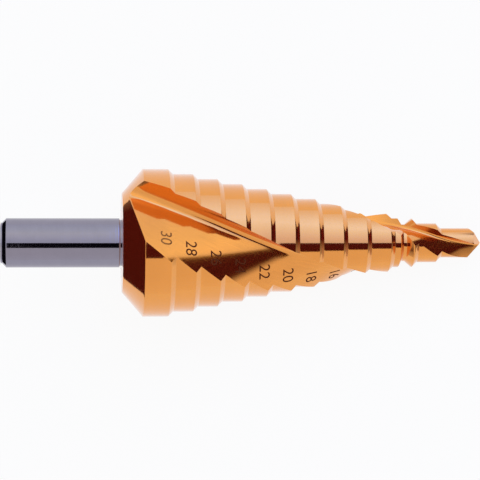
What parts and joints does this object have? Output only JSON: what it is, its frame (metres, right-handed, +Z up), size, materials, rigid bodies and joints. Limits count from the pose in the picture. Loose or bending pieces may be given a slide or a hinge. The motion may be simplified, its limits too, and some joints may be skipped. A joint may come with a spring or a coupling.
{
  "type": "step drill",
  "caption": "Two-flute spiral step drill with a stepped conical cutting head, a short pilot and a plain round shank.",
  "frame": {"origin": "centre of the bounding box, on the surface the drill lies on", "axes": "+X towards the drill's tip, which points 9.3 degrees down; +Z up; the axis of rotation lies in the XZ plane"},
  "size_m": [0.0974, 0.03, 0.0297],
  "materials": {
    "coated_head": "ground high-speed steel with a golden titanium nitride coating",
    "bare_shank": "ground bare steel, the same solid's shank",
    "size_marks": "dark laser-marked size numbers in the flute"
  },
  "bodies": {
    "root": {"step_drill": "coated_head"}
  },
  "joints": []
}
